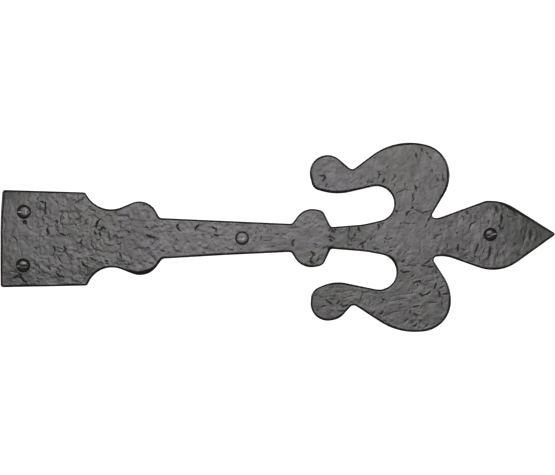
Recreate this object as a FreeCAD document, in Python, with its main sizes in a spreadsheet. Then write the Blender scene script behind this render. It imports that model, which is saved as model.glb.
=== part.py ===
"""Wrought-look strap hinge front: a flat cast-iron door strap with a fleur-de-lis end and four wood screws.

Frame: X runs from the butt edge to the spear tip, Z runs up across the strap, and the decorated
face looks toward -Y. The flat back, which lies on the door, is the plane Y = 0. The origin is on
that back, on the strap's centreline, at the butt edge. Lengths are in millimetres.
"""
import FreeCAD, Part
import math
import os
import Sketcher

# Driving dimensions, kept in the sheet under these names.
DIMENSIONS = {
    "plate_thickness": 4.0,
    "edge_round": 1.1,
    # Countersunk screw holes.
    "hole_diameter": 6.5,
    "sink_diameter": 10.2,
    "sink_angle": 90.0,
    "butt_hole_upper_x": 17.4,
    "butt_hole_lower_x": 16.8,
    "butt_hole_upper_z": 19.2,
    "butt_hole_lower_z": -20.1,
    "strap_hole_x": 177.0,
    "strap_hole_z": -0.1,
    "spear_hole_x": 358.6,
    "spear_hole_z": 2.6,
    # No. 10 slotted wood screw with a raised countersunk head.
    "screw_head_radius": 4.45,
    "screw_head_land": 0.25,
    "screw_crown_rise": 1.3,
    "screw_shank_radius": 2.4,
    "screw_shank_length": 9.4,
    "screw_core_radius": 1.75,
    "screw_thread_radius": 2.35,
    "screw_thread_pitch": 1.95,
    "screw_thread_length": 14.6,
    "screw_thread_base": 1.2,
    "screw_thread_seat": 0.15,
    "screw_point_length": 5.2,
    "slot_width": 1.4,
    "slot_depth": 1.5,
    "slot_overrun": 1.0,
}

# The outline is a belt of tangent rounds joined by straight runs: each round has the name of the
# feature it shapes, its centre (x, z), its radius, and its turn as the outline is walked with the
# metal on the left: +1 where the metal bulges, -1 where it is hollowed.
BULGE = 1
HOLLOW = -1
LOWER_ROUNDS = [
    ("butt_corner", 1.9, -34.2, 1.8, BULGE),
    ("shoulder_corner", 62.3, -33.0, 1.8, BULGE),
    ("shoulder_hollow", 81.7, -40.4, 18.9, HOLLOW),
    ("lobe", 102.1, -11.9, 15.2, BULGE),
    ("lobe_foot", 120.2, -18.2, 3.2, HOLLOW),
    ("strap_bow", 253.5, -1710.1, 1700.0, HOLLOW),
    ("knob_foot", 211.6, -12.5, 2.3, HOLLOW),
    ("knob", 227.5, -7.6, 13.8, BULGE),
    ("knob_cheek", 231.9, -14.5, 6.2, BULGE),
    ("neck_foot", 242.8, -9.4, 1.5, HOLLOW),
    ("neck_flare", 260.0, -68.9, 59.4, HOLLOW),
    ("bay_end", 277.0, -24.7, 12.8, HOLLOW),
    ("belly", 247.2, -60.2, 28.0, BULGE),
    ("chin", 236.7, -44.5, 9.5, BULGE),
    ("scroll", 239.6, -47.9, 12.6, BULGE),
    ("scroll_cheek", 241.7, -47.3, 12.8, BULGE),
    ("notch", 258.5, -52.4, 3.2, HOLLOW),
    ("arm_back", 303.1, -22.4, 46.3, BULGE),
    ("arm_shoulder", 307.2, -45.8, 22.7, BULGE),
    ("arm_root", 299.5, -45.0, 30.3, BULGE),
    ("crook", 319.3, -15.7, 2.2, HOLLOW),
    ("barb", 322.9, -37.0, 23.7, HOLLOW),
    ("spear_side", 360.4, 7.0, 30.3, BULGE),
]
SPEAR_TIP = ("spear_tip", 405.0, 3.0, 1.2, BULGE)
UPPER_ROUNDS = [
    ("spear_side", 359.6, -2.9, 30.3, BULGE),
    ("spear_corner", 356.7, 20.0, 7.5, BULGE),
    ("barb", 319.4, 22.6, 7.7, HOLLOW),
    ("crook", 317.8, 16.8, 1.9, HOLLOW),
    ("arm_root", 302.5, 46.0, 26.3, BULGE),
    ("arm_shoulder", 306.2, 46.4, 22.7, BULGE),
    ("arm_back", 299.6, 24.3, 45.7, BULGE),
    ("notch", 257.5, 53.8, 3.2, HOLLOW),
    ("scroll", 239.4, 47.8, 13.1, BULGE),
    ("chin", 234.4, 41.7, 6.8, BULGE),
    ("belly", 246.7, 73.0, 40.3, BULGE),
    ("bay_end", 275.4, 25.3, 12.7, HOLLOW),
    ("neck_flare", 257.9, 59.3, 49.7, HOLLOW),
    ("neck_foot", 242.9, 9.8, 1.5, HOLLOW),
    ("knob_cheek", 233.2, 16.1, 4.5, BULGE),
    ("knob", 228.4, 7.6, 13.9, BULGE),
    ("knob_foot", 212.3, 12.9, 2.3, HOLLOW),
    ("lobe_foot", 118.0, 17.0, 2.2, HOLLOW),
    ("lobe", 101.8, 13.1, 13.9, BULGE),
    ("shoulder_hollow", 81.1, 41.5, 20.3, HOLLOW),
    ("shoulder_corner", 61.2, 31.8, 1.8, BULGE),
    ("butt_corner", 2.9, 33.6, 1.8, BULGE),
    ("butt_cheek", 150.1, 12.0, 150.0, BULGE),
]
BUTT_BOW = ("butt_bow", 900.0, -10.0, 900.0, BULGE)

# Each screw: its node, the sheet names of its hole, and the angle of its slot above the strap's axis.
SCREWS = [
    ("screw_butt_upper", "butt_hole_upper_x", "butt_hole_upper_z", 0.0),
    ("screw_butt_lower", "butt_hole_lower_x", "butt_hole_lower_z", 4.0),
    ("screw_strap", "strap_hole_x", "strap_hole_z", 0.0),
    ("screw_spear", "spear_hole_x", "spear_hole_z", 11.0),
]

# Levels along a screw's own axis, measured from the plate's front face, as formulas of the sheet.
# The head's cone lies in the countersink, so its rim is as deep as the sink is wider than it.
CONE = " / tan(Dimensions.sink_angle * 1 deg / 2)"
RIM = "-(Dimensions.sink_diameter / 2 - Dimensions.screw_head_radius)" + CONE
LAND_TOP = RIM + " + Dimensions.screw_head_land"
CROWN = LAND_TOP + " + Dimensions.screw_crown_rise"
NECK = "-(Dimensions.sink_diameter / 2 - Dimensions.screw_shank_radius)" + CONE
SHANK_END = "-Dimensions.plate_thickness - Dimensions.screw_shank_length"
CORE_TOP = SHANK_END + " - Dimensions.screw_shank_radius + Dimensions.screw_core_radius"
POINT_TOP = CORE_TOP + " - Dimensions.screw_thread_length"
POINT = POINT_TOP + " - Dimensions.screw_point_length"

FULL_TURN = 360
QUARTER_TURN = 90
# An edge counts as lying on a face when it is this close to the face's level.
LEVEL_TOLERANCE = 1e-4
# How a sketch refers to its own upright axis and to its origin.
SKETCH_UP = -2
SKETCH_ORIGIN = (-1, 1)

doc = FreeCAD.newDocument("strap_hinge_front")
sheet = doc.addObject("Spreadsheet::Sheet", "Dimensions")
next_row = 1


def keep(name, value):
    """Write one dimension on the next row of the sheet and give its cell the name."""
    global next_row
    sheet.set("A%d" % next_row, name)
    sheet.set("B%d" % next_row, str(value))
    sheet.setAlias("B%d" % next_row, name)
    next_row += 1


def belt_rounds():
    """All rounds of the outline in walking order, each named after its side of the strap."""
    rounds = [("lower_" + entry[0],) + entry[1:] for entry in LOWER_ROUNDS]
    rounds.append(SPEAR_TIP)
    rounds += [("upper_" + entry[0],) + entry[1:] for entry in UPPER_ROUNDS]
    rounds.append(BUTT_BOW)
    return rounds


def tangent_run(first, second):
    """Ends of the straight run that leaves the first round and meets the second, tangent to both."""
    name_a, xa, za, ra, turn_a = first
    name_b, xb, zb, rb, turn_b = second
    gap = math.hypot(xb - xa, zb - za)
    lean = turn_b * rb - turn_a * ra
    if abs(lean) > gap:
        raise ValueError("no run joins %s and %s" % (name_a, name_b))
    heading = math.atan2(zb - za, xb - xa) - math.asin(lean / gap)
    left = FreeCAD.Vector(-math.sin(heading), math.cos(heading), 0)
    start = FreeCAD.Vector(xa, za, 0) - left * (turn_a * ra)
    end = FreeCAD.Vector(xb, zb, 0) - left * (turn_b * rb)
    if (end - start).dot(FreeCAD.Vector(math.cos(heading), math.sin(heading), 0)) < 0:
        raise ValueError("the run from %s to %s is backwards" % (name_a, name_b))
    return start, end


def origin_plane(body, role):
    """The body's own origin plane or axis with this role."""
    return next(feature for feature in body.Origin.OriginFeatures if feature.Role == role)


def new_sketch(body, name, role, height=None):
    """A sketch on one of the body's origin planes, raised along its normal by a sheet expression."""
    sketch = body.newObject("Sketcher::SketchObject", name)
    sketch.AttachmentSupport = [(origin_plane(body, role), "")]
    sketch.MapMode = "FlatFace"
    if height:
        sketch.setExpression("AttachmentOffset.Base.z", height)
    return sketch


def bind(sketch, constraint, name, formula):
    """Add a dimension to a sketch, name it, and drive it from the sheet."""
    index = sketch.addConstraint(constraint)
    sketch.renameConstraint(index, name)
    sketch.setExpression("Constraints." + name, formula)


def outline_sketch(body):
    """The strap's outline: one arc for each round and one line for each run, tangent end to end."""
    rounds = belt_rounds()
    count = len(rounds)
    runs = [tangent_run(rounds[i], rounds[(i + 1) % count]) for i in range(count)]
    shapes = []
    for i, (_, x, z, radius, turn) in enumerate(rounds):
        arrive = runs[i - 1][1]
        leave = runs[i][0]
        circle = Part.Circle(FreeCAD.Vector(x, z, 0), FreeCAD.Vector(0, 0, 1), radius)
        # An arc always runs anticlockwise, so a hollow is drawn from where the walk leaves it.
        first, last = (arrive, leave) if turn == BULGE else (leave, arrive)
        start_angle = math.atan2(first.y - z, first.x - x)
        end_angle = math.atan2(last.y - z, last.x - x)
        if end_angle < start_angle:
            end_angle += 2 * math.pi
        shapes.append(Part.ArcOfCircle(circle, start_angle, end_angle))
        shapes.append(Part.LineSegment(*runs[i]))
    sketch = new_sketch(body, "outline", "XZ_Plane")
    sketch.addGeometry(shapes, False)

    joints = []
    for i in range(count):
        arc = 2 * i
        line = arc + 1
        next_arc = (arc + 2) % (2 * count)
        leave_end = 2 if rounds[i][4] == BULGE else 1
        arrive_end = 1 if rounds[(i + 1) % count][4] == BULGE else 2
        joints.append(Sketcher.Constraint("Tangent", arc, leave_end, line, 1))
        joints.append(Sketcher.Constraint("Tangent", line, 2, next_arc, arrive_end))
    sketch.addConstraint(joints)

    dimensions = []
    for i, (_, x, z, radius, _) in enumerate(rounds):
        dimensions.append(Sketcher.Constraint("DistanceX", 2 * i, 3, x))
        dimensions.append(Sketcher.Constraint("DistanceY", 2 * i, 3, z))
        dimensions.append(Sketcher.Constraint("Radius", 2 * i, radius))
    indices = sketch.addConstraint(dimensions)
    for i, entry in enumerate(rounds):
        for k, measure in enumerate(("x", "z", "radius")):
            name = "%s_%s" % (entry[0], measure)
            sketch.renameConstraint(indices[3 * i + k], name)
            sketch.setExpression("Constraints." + name, "Dimensions." + name)
    return sketch


def make_plate():
    """The strap: its outline padded toward the room, with a rounded front edge and four holes."""
    body = doc.addObject("PartDesign::Body", "strap_plate")
    body.Label = "strap_plate"
    outline = outline_sketch(body)
    pad = body.newObject("PartDesign::Pad", "plate_pad")
    pad.Profile = outline
    pad.setExpression("Length", "Dimensions.plate_thickness")
    doc.recompute()

    front = -sheet.plate_thickness
    front_edges = []
    for number, edge in enumerate(pad.Shape.Edges, 1):
        box = edge.BoundBox
        if max(abs(box.YMin - front), abs(box.YMax - front)) < LEVEL_TOLERANCE:
            front_edges.append("Edge%d" % number)
    rim = body.newObject("PartDesign::Fillet", "rim_round")
    rim.Base = (pad, front_edges)
    rim.setExpression("Radius", "Dimensions.edge_round")
    doc.recompute()

    centres = new_sketch(body, "hole_centres", "XZ_Plane", "Dimensions.plate_thickness")
    for node, x_name, z_name, _ in SCREWS:
        where = FreeCAD.Vector(getattr(sheet, x_name), getattr(sheet, z_name), 0)
        circle = Part.Circle(where, FreeCAD.Vector(0, 0, 1), sheet.hole_diameter / 2)
        index = centres.addGeometry(circle, False)
        across = Sketcher.Constraint("DistanceX", index, 3, where.x)
        bind(centres, across, node + "_x", "Dimensions." + x_name)
        upward = Sketcher.Constraint("DistanceY", index, 3, where.y)
        bind(centres, upward, node + "_z", "Dimensions." + z_name)
        diameter = Sketcher.Constraint("Diameter", index, sheet.hole_diameter)
        bind(centres, diameter, node + "_diameter", "Dimensions.hole_diameter")
    doc.recompute()
    solid_volume = body.Shape.Volume
    holes = body.newObject("PartDesign::Hole", "screw_holes")
    holes.Profile = centres
    holes.DepthType = "ThroughAll"
    holes.Threaded = False
    holes.setExpression("Diameter", "Dimensions.hole_diameter")
    holes.HoleCutType = "Countersink"
    holes.HoleCutCustomValues = True
    holes.setExpression("HoleCutDiameter", "Dimensions.sink_diameter")
    holes.setExpression("HoleCutCountersinkAngle", "Dimensions.sink_angle")
    doc.recompute()
    print("holes take", round(solid_volume - body.Shape.Volume, 1), "mm3")
    return body


def screw_profile(body):
    """Half of the screw's lengthwise section, closed along its axis."""
    corners = [
        ("crown", None, CROWN),
        ("land_top", "Dimensions.screw_head_radius", LAND_TOP),
        ("rim", "Dimensions.screw_head_radius", RIM),
        ("neck", "Dimensions.screw_shank_radius", NECK),
        ("shank_end", "Dimensions.screw_shank_radius", SHANK_END),
        ("core_top", "Dimensions.screw_core_radius", CORE_TOP),
        ("point_top", "Dimensions.screw_core_radius", POINT_TOP),
        ("point", None, POINT),
    ]
    places = []
    for name, radius, level in corners:
        across = sheet.evalExpression(radius) if radius else 0
        places.append(FreeCAD.Vector(across, sheet.evalExpression(level), 0))
    crown, land_top = places[0], places[1]
    # The dome is an arc about a centre on the axis, through the crown and the top of the land.
    rise = crown.y - land_top.y
    dome_radius = (land_top.x ** 2 + rise ** 2) / (2 * rise)
    dome_centre = FreeCAD.Vector(0, crown.y - dome_radius, 0)
    dome_circle = Part.Circle(dome_centre, FreeCAD.Vector(0, 0, 1), dome_radius)
    land_angle = math.atan2(land_top.y - dome_centre.y, land_top.x)
    shapes = [Part.LineSegment(places[i], places[(i + 1) % len(places)]) for i in range(1, len(places))]
    shapes.append(Part.ArcOfCircle(dome_circle, land_angle, math.pi / 2))

    sketch = new_sketch(body, "profile", "XZ_Plane")
    sketch.addGeometry(shapes, False)
    axis_line = len(shapes) - 2
    dome = len(shapes) - 1
    ties = [Sketcher.Constraint("Coincident", i, 2, i + 1, 1) for i in range(axis_line)]
    ties.append(Sketcher.Constraint("Coincident", axis_line, 2, dome, 2))
    ties.append(Sketcher.Constraint("Coincident", dome, 1, 0, 1))
    ties.append(Sketcher.Constraint("PointOnObject", dome, 3, SKETCH_UP))
    ties.append(Sketcher.Constraint("PointOnObject", axis_line, 1, SKETCH_UP))
    ties.append(Sketcher.Constraint("PointOnObject", axis_line, 2, SKETCH_UP))
    sketch.addConstraint(ties)
    for i, (name, radius, level) in enumerate(corners):
        line, end = (i - 1, 1) if i else (axis_line, 2)
        if radius:
            across = Sketcher.Constraint("DistanceX", line, end, places[i].x)
            bind(sketch, across, name + "_radius", radius)
        bind(sketch, Sketcher.Constraint("DistanceY", line, end, places[i].y), name + "_level", level)
    return sketch


def thread_profile(body):
    """The thread's section: a ridge that stands on the screw's core at the lower end of the thread."""
    root = sheet.screw_core_radius - sheet.screw_thread_seat
    low = sheet.evalExpression(POINT_TOP)
    high = low + sheet.screw_thread_base
    places = [
        FreeCAD.Vector(root, low, 0),
        FreeCAD.Vector(sheet.screw_thread_radius, (low + high) / 2, 0),
        FreeCAD.Vector(root, high, 0),
    ]
    sketch = new_sketch(body, "ridge", "XZ_Plane")
    sketch.addGeometry([Part.LineSegment(places[i], places[(i + 1) % 3]) for i in range(3)], False)
    sketch.addConstraint([Sketcher.Constraint("Coincident", i, 2, (i + 1) % 3, 1) for i in range(3)])
    root_formula = "Dimensions.screw_core_radius - Dimensions.screw_thread_seat"
    levels = [
        ("low", root_formula, POINT_TOP),
        ("crest", "Dimensions.screw_thread_radius", POINT_TOP + " + Dimensions.screw_thread_base / 2"),
        ("high", root_formula, POINT_TOP + " + Dimensions.screw_thread_base"),
    ]
    for i, (name, radius, level) in enumerate(levels):
        bind(sketch, Sketcher.Constraint("DistanceX", i, 1, places[i].x), name + "_radius", radius)
        bind(sketch, Sketcher.Constraint("DistanceY", i, 1, places[i].y), name + "_level", level)
    return sketch


def slot_outline(body):
    """The driver slot: a strip across the head, at the level of the crown."""
    sketch = new_sketch(body, "slot_strip", "XY_Plane", CROWN)
    across = sheet.screw_head_radius + sheet.slot_overrun
    half = sheet.slot_width / 2
    places = [
        FreeCAD.Vector(-across, -half, 0),
        FreeCAD.Vector(across, -half, 0),
        FreeCAD.Vector(across, half, 0),
        FreeCAD.Vector(-across, half, 0),
    ]
    sketch.addGeometry([Part.LineSegment(places[i], places[(i + 1) % 4]) for i in range(4)], False)
    ties = [Sketcher.Constraint("Coincident", i, 2, (i + 1) % 4, 1) for i in range(4)]
    ties += [Sketcher.Constraint("Horizontal", i) for i in (0, 2)]
    ties += [Sketcher.Constraint("Vertical", i) for i in (1, 3)]
    ties.append(Sketcher.Constraint("Symmetric", 0, 1, 2, 1, *SKETCH_ORIGIN))
    sketch.addConstraint(ties)
    bind(sketch, Sketcher.Constraint("DistanceY", 1, 1, 1, 2, 2 * half), "width", "Dimensions.slot_width")
    length = "2 * Dimensions.screw_head_radius + 2 * Dimensions.slot_overrun"
    bind(sketch, Sketcher.Constraint("DistanceX", 0, 1, 0, 2, 2 * across), "length", length)
    return sketch


def make_screw(node, x_name, z_name, slot_angle):
    """One wood screw, turned about its own Z: height 0 is the plate's front face, the head is above."""
    body = doc.addObject("PartDesign::Body", node)
    body.Label = node
    turned = body.newObject("PartDesign::Revolution", "turned_blank")
    turned.Profile = screw_profile(body)
    turned.ReferenceAxis = (origin_plane(body, "Z_Axis"), [""])
    turned.Angle = FULL_TURN
    doc.recompute()

    thread = body.newObject("PartDesign::AdditiveHelix", "thread")
    thread.Profile = thread_profile(body)
    thread.ReferenceAxis = (origin_plane(body, "Z_Axis"), [""])
    thread.Mode = "pitch-height-angle"
    thread.setExpression("Pitch", "Dimensions.screw_thread_pitch")
    thread.setExpression("Height", "Dimensions.screw_thread_length - Dimensions.screw_thread_base")
    thread.Angle = 0
    doc.recompute()

    whole = body.Shape.Volume
    slot = body.newObject("PartDesign::Pocket", "driver_slot")
    slot.Profile = slot_outline(body)
    slot.setExpression("Length", "Dimensions.slot_depth")
    doc.recompute()
    if body.Shape.Volume >= whole:
        raise ValueError("the slot of %s cuts nothing" % node)

    facing = FreeCAD.Rotation(FreeCAD.Vector(1, 0, 0), QUARTER_TURN)
    clocking = FreeCAD.Rotation(FreeCAD.Vector(0, 0, 1), slot_angle)
    seat = FreeCAD.Vector(getattr(sheet, x_name), -sheet.plate_thickness, getattr(sheet, z_name))
    body.Placement = FreeCAD.Placement(seat, facing * clocking)
    body.setExpression("Placement.Base.x", "Dimensions." + x_name)
    body.setExpression("Placement.Base.y", "-Dimensions.plate_thickness")
    body.setExpression("Placement.Base.z", "Dimensions." + z_name)
    return body


for name, value in DIMENSIONS.items():
    keep(name, value)
for name, x, z, radius, _ in belt_rounds():
    keep(name + "_x", x)
    keep(name + "_z", z)
    keep(name + "_radius", radius)
doc.recompute()

pieces = [make_plate()]
for screw in SCREWS:
    pieces.append(make_screw(*screw))
doc.recompute()

for feature in doc.Objects:
    if "Invalid" in feature.State or "Error" in feature.State:
        raise ValueError("%s is not sound: %s" % (feature.Name, feature.State))
for piece in pieces:
    if piece.Shape.isNull() or not piece.Shape.isValid() or len(piece.Shape.Solids) != 1:
        raise ValueError("%s is not one sound solid" % piece.Label)

os.makedirs("parts", exist_ok=True)
for piece in pieces:
    piece.Shape.exportStep("parts/%s.step" % piece.Label)
    print(piece.Label, round(piece.Shape.Volume, 1), "mm3")
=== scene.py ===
import math
import random

import bmesh
import bpy
import numpy as np
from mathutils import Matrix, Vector
from mathutils.geometry import delaunay_2d_cdt
from mathutils.kdtree import KDTree


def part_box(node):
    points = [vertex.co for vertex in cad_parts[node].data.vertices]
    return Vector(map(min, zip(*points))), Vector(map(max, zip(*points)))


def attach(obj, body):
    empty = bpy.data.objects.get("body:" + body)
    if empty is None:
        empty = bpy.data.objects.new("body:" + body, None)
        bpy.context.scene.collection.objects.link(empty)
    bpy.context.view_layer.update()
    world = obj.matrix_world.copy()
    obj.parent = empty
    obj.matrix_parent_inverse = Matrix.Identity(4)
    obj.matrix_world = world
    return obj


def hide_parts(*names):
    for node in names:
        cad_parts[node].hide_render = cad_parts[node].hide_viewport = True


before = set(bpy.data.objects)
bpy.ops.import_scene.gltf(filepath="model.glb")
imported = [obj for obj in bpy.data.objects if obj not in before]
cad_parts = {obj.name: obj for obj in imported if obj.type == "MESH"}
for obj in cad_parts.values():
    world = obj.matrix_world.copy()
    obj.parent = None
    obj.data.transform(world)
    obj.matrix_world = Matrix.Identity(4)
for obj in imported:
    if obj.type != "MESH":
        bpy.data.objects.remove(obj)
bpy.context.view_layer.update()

# The visual model of a hand-beaten cast-iron strap hinge front with four slotted wood screws.
# Lengths in this script are in millimetres in the frame's axes (X along the strap, Y into the
# door, Z up), and become metres only where a mesh, a light or the camera is made.
MM = 0.001

PLATE = "strap_plate"
# The screws: the slot's turn in degrees, the radii that the countersink and the head show, the crown
# (shift of its top along the slot, and across it, and its rise), and the spots painted bright as scuffed
# steel, which are painted highlights of the crown and of the slot's floor: (along the slot, across it,
# reach along, reach across, amount). Between two places along it, the slot is clogged level with paint,
# or has a floor that leans, so that it looks dark.
SCREWS = {
    "screw_butt_upper": {
        "turn": 0, "sink": 5.1, "head": 4.6, "crown": (0.9, 0.3, 0.80), "clogged": (0.4, 3),
        "rubbed_and_highlit": [(-2.4, 0, 1.7, 0.45, 1), (1.4, 0.3, 2, 1.6, 0.55), (3.4, 0, 0.5, 0.5, 0.8)],
    },
    "screw_butt_lower": {
        "turn": 4, "sink": 5.1, "head": 4.5, "crown": (0.3, 1.3, 1.05), "leaning": (-2.3, 5),
        "rubbed_and_highlit": [(0.6, 1.9, 1.3, 0.8, 0.8), (-3.2, 0, 0.7, 0.4, 0.8), (1.6, 1.1, 1.2, 0.4, 0.5)],
    },
    "screw_strap": {
        "turn": 0, "sink": 4.75, "head": 4.4, "crown": (0, 0, 0.40), "clogged": (-4.4, 4.4),
        "rubbed_and_highlit": [(-0.1, -0.4, 1, 1.3, 0.7), (0, 0.1, 4.2, 0.55, 1)],
    },
    "screw_spear": {
        "turn": 11, "sink": 4.8, "head": 4.35, "crown": (-0.9, 0.9, 0.90), "leaning": (-5, 0.2),
        "rubbed_and_highlit": [(2.2, 0, 1.9, 0.5, 1), (-1, 1.9, 1.6, 0.9, 0.3), (-2, -1.6, 0.8, 0.6, 0.2)],
    },
}
HOLE_RADIUS = 3.25


def node_box(node):
    """Lowest and highest corner of a CAD node, in millimetres."""
    low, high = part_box(node)
    return np.array(low) / MM, np.array(high) / MM


PLATE_LOW, PLATE_HIGH = node_box(PLATE)
THICKNESS = PLATE_HIGH[1] - PLATE_LOW[1]
SCREW_CENTRES = {}
for screw_name in SCREWS:
    middle = sum(node_box(screw_name)) / 2
    SCREW_CENTRES[screw_name] = (float(middle[0]), float(middle[2]))

# How finely the plate is meshed: along the outline, in rings inside it, in the even net, along a
# crease and across it (in half-widths of its flank), and in the net of the flat back.
OUTLINE_STEP = 0.55
OUTLINE_PASSES = 3
RIM_RINGS = (0.16, 0.4, 0.7, 1.05, 1.5)
GRID_STEP = 0.68
MARK_STEP = 0.4
MARK_SIDES = (0.0, 0.48, -0.48, 1.0, -1.0, 1.7, -1.7)
BACK_STEP = 7.0
ROW_SHARE = math.sqrt(0.75)
# Corners of a screw hole, and the rings of points around it.
HOLE_SIDES = 48
SINK_SIDES = 64
SINK_RINGS = (3.7, 4.2, 4.6, 4.9, 5.1, 5.3, 5.6, 6.0)
# How far creases' points and the net stay from the outline, and all of them from a screw's middle.
MARK_MARGIN = 0.5
GRID_MARGIN = RIM_RINGS[-1] + 0.3
SCREW_MARGIN = 6.3
BACK_MARGIN = 2.5
BACK_SCREW_MARGIN = 6.0
# The least gap between points of the rings, of the creases and of the net.
RING_GAP = 0.1
MARK_GAP = 0.2
GRID_GAP = 0.45
# The side wall: where its rows of points lie between front and back, and how uneven it is.
WALL_SHARES = (0.25, 0.5, 0.75, 1.0)
WALL_WAVER = 0.05
PLATE_SHARP = 62.0

# Rounded front edge: its usual width, and the places where it was dressed wider:
# (x, z, extra width, reach).
RIM_WIDTH = 1.3
RIM_WAVER = 0.22
RIM_DROP = 1.25
RIM_DROP_MOST = 2.4
RIM_CURVE = 1.6
BEAD_HEIGHT = 0.12
RIM_WIDER = [
    (105, -24.5, 2.1, 6), (97, -25.5, 0.9, 4), (374.6, 21.8, 1.5, 7), (385, 15, 0.9, 7),
    (396, 8, 0.5, 7), (1, 30, 1, 6), (1, 20, 0.5, 8), (0, -4, 0.3, 14), (0.5, -26, 0.3, 9),
    (241, -7.5, 0.7, 3), (288, -15, 0.5, 4), (109, 22, 0.4, 5), (325, 45, 0.45, 14),
    (300, 70, 0.35, 14), (236, 39, 0.45, 8), (252, 36, 0.45, 9), (225, 50, 0.3, 8),
    (325, -45, 0.3, 14), (245, -60, 0.25, 12),
]

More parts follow.
